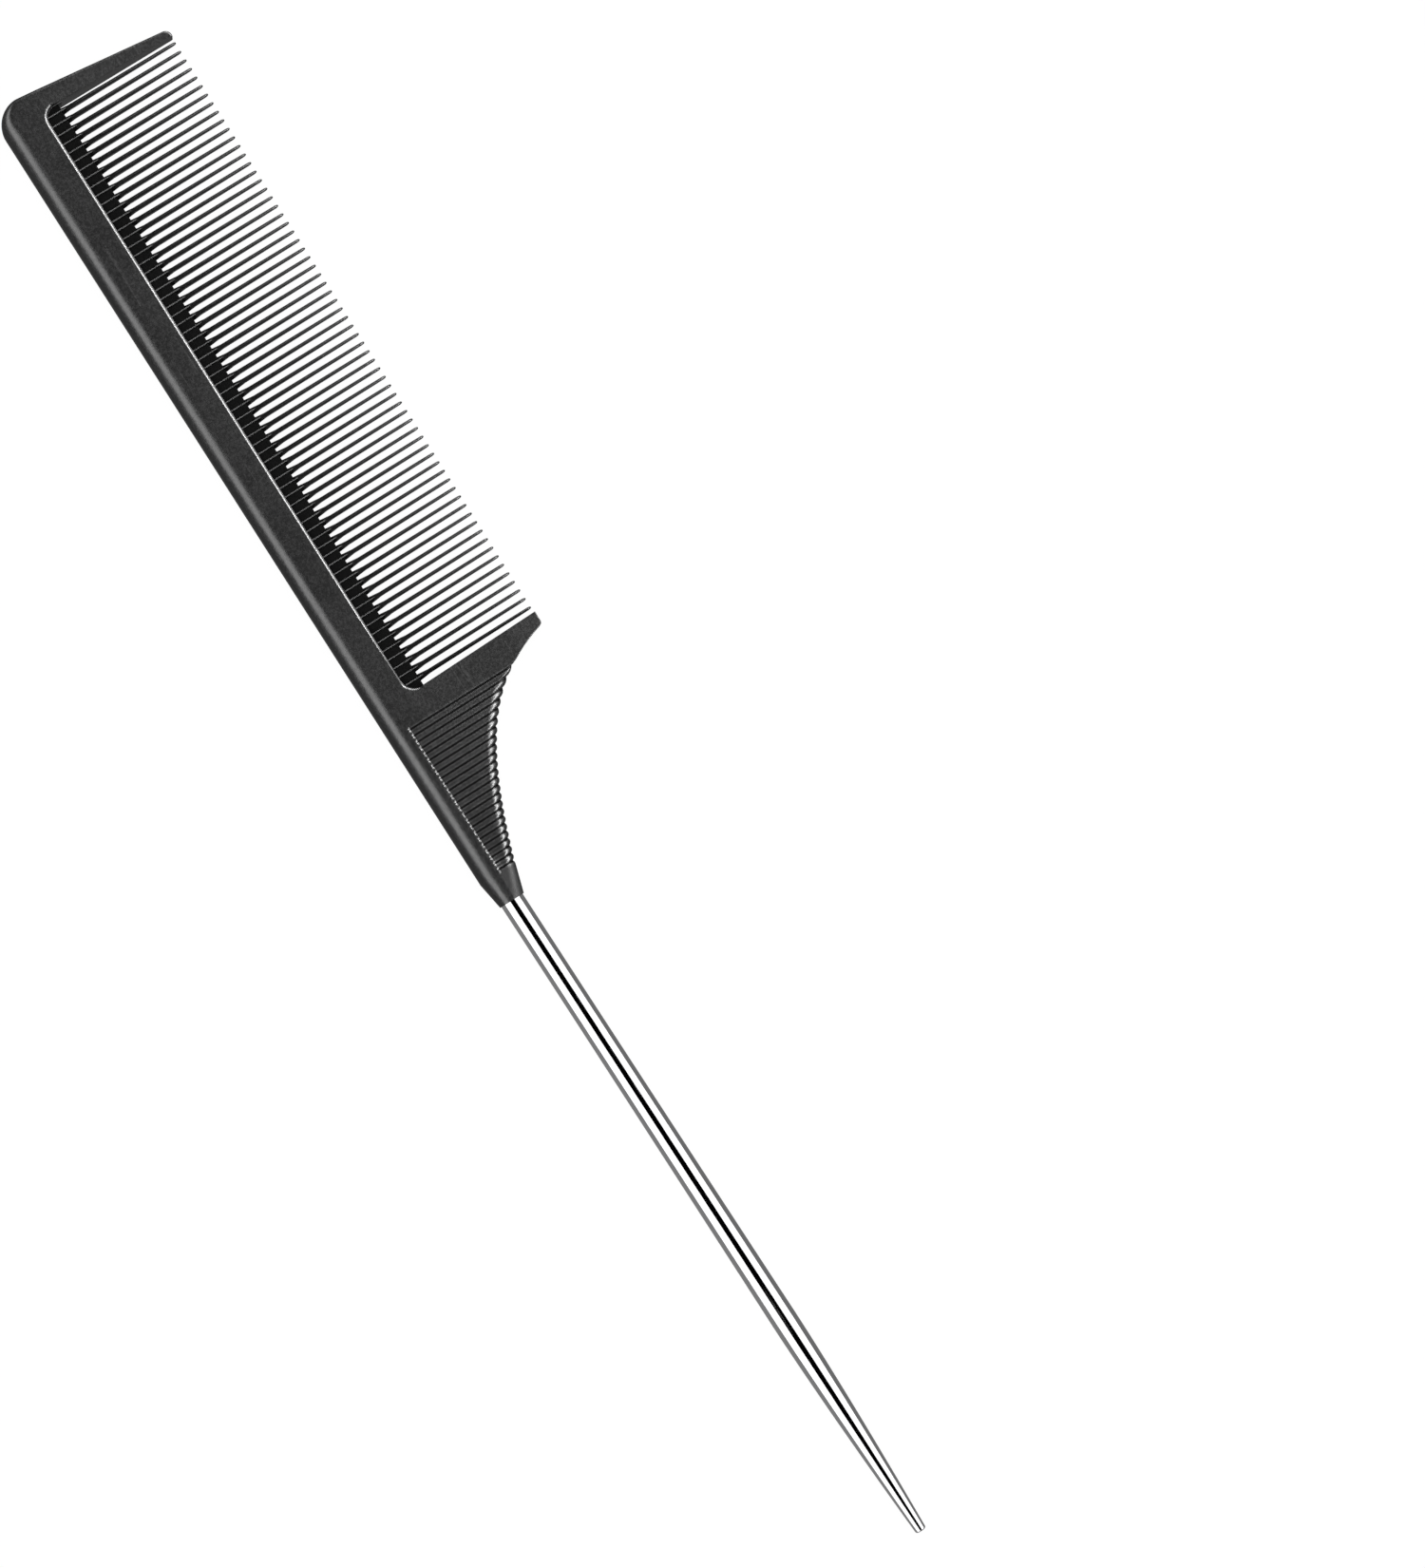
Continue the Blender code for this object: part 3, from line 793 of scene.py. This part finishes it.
def make_place_group():
    """Where a place lies on the moulding: painted highlights on the fins' crests, the step's lip and the rib
    ends, painted shade and lower shine in the web and the grooves, and the tooth side of the nose.
    """
    tree, given, out = new_group("moulding_places", [], ["Rubbed", "Recess", "Nose"])
    values = {0: given.outputs["Place"], 1: at(0, 0) / MM}
    place = add_node(tree, "ShaderNodeVectorMath", values, operation="SUBTRACT").outputs[0]
    parts = add_node(tree, "ShaderNodeSeparateXYZ", {0: place})
    x, y = parts.outputs["X"], parts.outputs["Y"]
    # The height is from the middle of the thickness. The level follows the step's slope from the back.
    height = add_node(tree, "ShaderNodeMath", {0: parts.outputs["Z"]}, operation="ABSOLUTE").outputs[0]
    values = {0: x, 1: -FIELD_SLOPE, 2: y}
    level = add_node(tree, "ShaderNodeMath", values, operation="MULTIPLY_ADD").outputs[0]
    step = SPINE_WIDTH / MM
    root = step + WEB_WIDTH / MM
    rib_start = RIB_START_WIDTH / MM
    in_field = between(tree, x, FREE_GUARD_WIDTH / MM, FIELD_END / MM, 1.2)
    on_grip = between(tree, x, GRIP_START / MM, NOSE_START / MM, 0.1)
    from_groove = distance_from_groove(tree, x)

    # Painted highlights: the fins' crests, the step's lip and the rib ends are marked to be made light grey.
    crest = between(tree, height, *FIN_CREST_HEIGHTS, 0.08)
    fins = both_of(tree, crest, between(tree, level, step + 0.06, root + 0.3, 0.5))
    fins = both_of(tree, fins, in_field)
    rounded = between(tree, height, *LIP_HEIGHTS, 0.03)
    lip = both_of(tree, rounded, between(tree, level, step - 0.5, step, 0.1))
    lip = both_of(tree, lip, in_field)
    sloped = between(tree, height, *RIB_END_HEIGHTS, 0.02)
    rib_ends = both_of(tree, sloped, between(tree, y, rib_start, rib_start + 0.26, 0.03))
    rib_ends = both_of(tree, both_of(tree, rib_ends, on_grip), spread(tree, from_groove, 0.1, 0.2))
    tree.links.new(either_of(tree, fins, either_of(tree, lip, rib_ends)), out.inputs["Rubbed"])

    # Painted shade: the web low between the step and the gap roots, and the bottoms of the grooves, are
    # marked to be made darker.
    low_down = spread(tree, height, *RECESS_HEIGHTS, 1.0, 0.0)
    web = both_of(tree, both_of(tree, low_down, in_field), between(tree, level, step, root + 0.4, 0.3))
    bottom = spread(tree, from_groove, 0.07, 0.25, 1.0, 0.0)
    grooves = both_of(tree, bottom, spread(tree, y, rib_start + 0.1, rib_start + 0.5))
    grooves = both_of(tree, grooves, on_grip)
    tree.links.new(either_of(tree, web, grooves), out.inputs["Recess"])

    nose = spread(tree, x, NOSE_START / MM - 0.6, NOSE_START / MM + 0.2)
    nose = both_of(tree, nose, spread(tree, y, TAIL_OFFSET / MM, TAIL_OFFSET / MM + 0.8))
    tree.links.new(nose, out.inputs["Nose"])


def add_relief(tree, shader, grain, strength, depth):
    relief = add_node(tree, "ShaderNodeBump", {"Height": grain, "Strength": strength, "Distance": depth})
    tree.links.new(relief.outputs[0], shader.inputs["Normal"])


def make_satin_plastic():
    """Satin black plastic: moulded grain, smudges, faint scratches, painted highlights on some edges, and
    painted shade with lower shine in the web and the grooves.
    """
    material, tree, shader, place = start_material("satin_black_plastic")
    grain, smudge, scratch = grain_and_wear(tree, place, PLASTIC_GRAIN, PLASTIC_GRAIN)
    where = add_group(tree, "moulding_places", {"Place": place})
    painted_shade_mask, nose = where.outputs["Recess"], where.outputs["Nose"]
    tone = add_up(tree, vary(tree, grain, 0.1, 0.4), vary(tree, scratch, 0.0, 0.25))
    colour = blend(tree, tone, PLASTIC_DARK, PLASTIC_LIGHT)
    # Painted shade darkens the web and the grooves here; the same mask lowers the shine below.
    colour = blend(tree, painted_shade_mask, colour, PLASTIC_PAINTED_SHADE)
    # Painted highlights on the fins' crests, the step's lip and the rib ends.
    colour = blend(tree, where.outputs["Rubbed"], colour, PLASTIC_PAINTED_HIGHLIGHT)
    tree.links.new(colour, shader.inputs["Base Color"])
    shine = both_of(tree, vary(tree, painted_shade_mask, PLASTIC_SHINE, RECESS_SHINE), vary(tree, nose, 1.0, NOSE_SHINE))
    tree.links.new(shine, shader.inputs["Specular IOR Level"])
    dull = vary(tree, grain, *PLASTIC_ROUGHNESS)
    marks = ((smudge, SMUDGE_ON_PLASTIC), (scratch, SCRATCH_ON_PLASTIC), (nose, DULLER_NOSE))
    for mark, change in marks:
        dull = add_up(tree, dull, vary(tree, mark, 0.0, change))
    tree.links.new(dull, shader.inputs["Roughness"])
    add_relief(tree, shader, grain, 0.5, PLASTIC_RELIEF)
    return material


def make_polished_steel():
    """Polished steel: fine lines along the pin, soft smudges and faint scratches."""
    material, tree, shader, place = start_material("polished_steel")
    shader.inputs["Metallic"].default_value = 1.0
    grain, smudge, scratch = grain_and_wear(tree, place, STEEL_GRAIN_ALONG, STEEL_GRAIN_ACROSS)
    tree.links.new(blend(tree, grain, STEEL_DARK, STEEL_BRIGHT), shader.inputs["Base Color"])
    dull = vary(tree, grain, *STEEL_ROUGHNESS)
    for mark, change in ((smudge, SMUDGE_ON_STEEL), (scratch, SCRATCH_ON_STEEL)):
        dull = add_up(tree, dull, vary(tree, mark, 0.0, change))
    tree.links.new(dull, shader.inputs["Roughness"])
    add_relief(tree, shader, grain, 0.15, STEEL_RELIEF)
    return material


# ---------------------------------------------------------------- studio


def make_camera():
    turn = Matrix.Identity(3)
    for angle, axis in zip(CAMERA_TURNS, "XYZ"):
        turn = turn @ Matrix.Rotation(math.radians(angle), 3, axis)
    data = bpy.data.cameras.new("camera")
    data.sensor_width = 36
    data.lens = CAMERA_LENS
    data.clip_start = 0.01
    camera = bpy.data.objects.new("camera", data)
    place = at(*CAMERA_AIM) + turn @ Vector((*CAMERA_SHIFT, CAMERA_DISTANCE))
    camera.matrix_world = Matrix.Translation(place) @ turn.to_4x4()
    bpy.context.scene.collection.objects.link(camera)
    bpy.context.scene.camera = camera


def make_world():
    """Black overhead, a dim glow round the horizon, and white where the camera looks past the floor."""
    world = bpy.data.worlds.new("studio")
    bpy.context.scene.world = world
    world.use_nodes = True
    tree = world.node_tree
    way = add_node(tree, "ShaderNodeTexCoord").outputs["Generated"]
    parts = add_node(tree, "ShaderNodeSeparateXYZ", {0: way})
    side = spread(tree, parts.outputs["Y"], -0.4, 0.4, BACK_GLOW, TOOTH_GLOW)
    glow = both_of(tree, side, spread(tree, parts.outputs["Z"], 0.1, 0.5, 1.0, 0.0))
    seen = add_node(tree, "ShaderNodeLightPath").outputs["Is Camera Ray"]
    strength = add_node(tree, "ShaderNodeMath", {0: seen, 1: glow}, operation="MAXIMUM").outputs[0]
    tree.nodes["Background"].inputs["Color"].default_value = (1, 1, 1, 1)
    tree.links.new(strength, tree.nodes["Background"].inputs["Strength"])


def add_panel(name, tilt, width, radiance, turn=0.0, length=4.0):
    """A soft panel that faces the comb. It is tilted from overhead: towards the teeth above zero."""
    data = bpy.data.lights.new(name, "AREA")
    data.shape = "RECTANGLE"
    data.size = length
    data.size_y = 2 * PANEL_DISTANCE * math.tan(math.radians(width) / 2)
    data.energy = radiance * math.pi * data.size * data.size_y
    panel = bpy.data.objects.new(name, data)
    aim = Matrix.Rotation(math.radians(turn), 4, "Z") @ Matrix.Rotation(math.radians(-tilt), 4, "X")
    panel.matrix_world = aim @ Matrix.Translation((0, 0, PANEL_DISTANCE))
    panel.visible_camera = False
    panel.visible_diffuse = False
    bpy.context.scene.collection.objects.link(panel)
    return panel


def light_only(piece, *panels):
    """Keeps some panels for one piece, as flags and cards do in a studio."""
    lit = bpy.data.collections.new(piece.name + "_lit")
    lit.objects.link(piece)
    for panel in panels:
        panel.light_linking.receiver_collection = lit


def make_lights(moulding, tail):
    """Long panels on both sides of a dark gap overhead, weak ones past both ends, and a soft fill."""
    light_only(
        moulding,
        add_panel("back_panel", -50, 35, BACK_LIGHT),
        add_panel("tooth_panel", 50, 40, TOOTH_LIGHT),
        add_panel("tooth_key", 52, 15, TOOTH_KEY),
        add_panel("free_end_panel", 72, 24, FREE_END_LIGHT, turn=90, length=1.6),
        add_panel("tail_end_panel", -70, 30, TAIL_END_LIGHT, turn=90, length=1.6),
    )
    light_only(
        tail,
        add_panel("steel_back_panel", -54.5, 61, STEEL_LIGHT),
        add_panel("steel_tooth_panel", 50, 58, STEEL_LIGHT),
    )
    fill = add_panel("fill", 0, 70, FILL_LIGHT, length=2)
    fill.visible_diffuse = True
    fill.visible_glossy = False


def make_floor():
    """A white table lit from below, so that the comb throws hardly any shadow."""
    bpy.ops.object.select_all(action="DESELECT")
    bpy.ops.mesh.primitive_plane_add(size=4, location=(0, 0, BODY_LOW.z - 0.02 * MM))
    floor = bpy.context.active_object
    floor.name = "floor"
    material = bpy.data.materials.new("pale_floor")
    material.use_nodes = True
    shader = material.node_tree.nodes["Principled BSDF"]
    shader.inputs["Base Color"].default_value = (0.1, 0.1, 0.1, 1)
    shader.inputs["Roughness"].default_value = 1.0
    shader.inputs["Specular IOR Level"].default_value = 0.0
    shader.inputs["Emission Color"].default_value = (1, 1, 1, 1)
    shader.inputs["Emission Strength"].default_value = FLOOR_GLOW
    floor.data.materials.append(material)
    floor.visible_glossy = False
    floor.visible_diffuse = False


def finish_piece(piece, node_name, material):
    piece.data.materials.clear()
    piece.data.materials.append(material)
    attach(piece, "root")
    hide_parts(node_name)


make_camera()
make_world()
make_floor()
bpy.context.scene.view_settings.view_transform = "Standard"
make_grain_group()
make_wear_group()
make_place_group()
moulding = make_moulding()
tail = make_tail()
finish_piece(moulding, "comb_body", make_satin_plastic())
finish_piece(tail, "tail_pin", make_polished_steel())
make_lights(moulding, tail)
